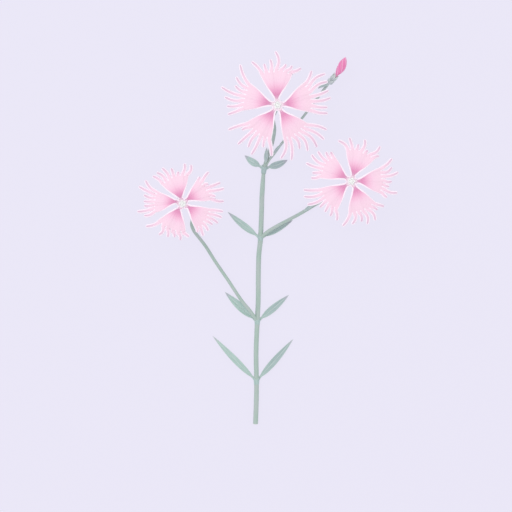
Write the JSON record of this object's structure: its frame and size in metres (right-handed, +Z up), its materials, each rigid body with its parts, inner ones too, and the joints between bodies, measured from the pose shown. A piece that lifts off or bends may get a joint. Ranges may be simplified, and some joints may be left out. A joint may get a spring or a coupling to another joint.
{
  "type": "dianthus plant",
  "caption": "Cut sprig of a fringed pink lying on its side: jointed stem, narrow paired leaves, open fringed blooms facing up and a closed bud.",
  "frame": {"origin": "centre of the sprig's footprint, on the surface it lies on", "axes": "+Y along the stem from the cut end to the blooms, +Z up from the surface, +X to the right with the cut end towards the viewer"},
  "size_m": [0.1281, 0.1845, 0.0327],
  "materials": {
    "stem_skin": "satin",
    "leaf_blade": "matte",
    "calyx_skin": "matte",
    "petal_tissue": "matte",
    "bud_tissue": "satin",
    "pistil_tissue": "satin"
  },
  "bodies": {
    "root": {"stem": "stem_skin", "leaf_bottom_left": "leaf_blade", "leaf_bottom_right": "leaf_blade", "leaf_second_left": "leaf_blade", "leaf_second_right": "leaf_blade", "leaf_third_left": "leaf_blade", "leaf_third_right": "leaf_blade", "leaf_top_left": "leaf_blade", "leaf_top_right": "leaf_blade", "bract_main": "leaf_blade", "bract_fork": "leaf_blade", "bract_right": "leaf_blade", "bract_bud": "leaf_blade", "calyx_top": "calyx_skin", "calyx_left": "calyx_skin", "calyx_right": "calyx_skin", "calyx_bud": "calyx_skin", "petal_top_1": "petal_tissue", "petal_top_2": "petal_tissue", "petal_top_3": "petal_tissue", "petal_top_4": "petal_tissue", "petal_top_5": "petal_tissue", "petal_left_1": "petal_tissue", "petal_left_2": "petal_tissue", "petal_left_3": "petal_tissue", "petal_left_4": "petal_tissue", "petal_left_5": "petal_tissue", "petal_right_1": "petal_tissue", "petal_right_2": "petal_tissue", "petal_right_3": "petal_tissue", "petal_right_4": "petal_tissue", "petal_right_5": "petal_tissue", "pistil_top": "pistil_tissue", "pistil_left": "pistil_tissue", "pistil_right": "pistil_tissue", "bud": "bud_tissue"}
  },
  "joints": []
}
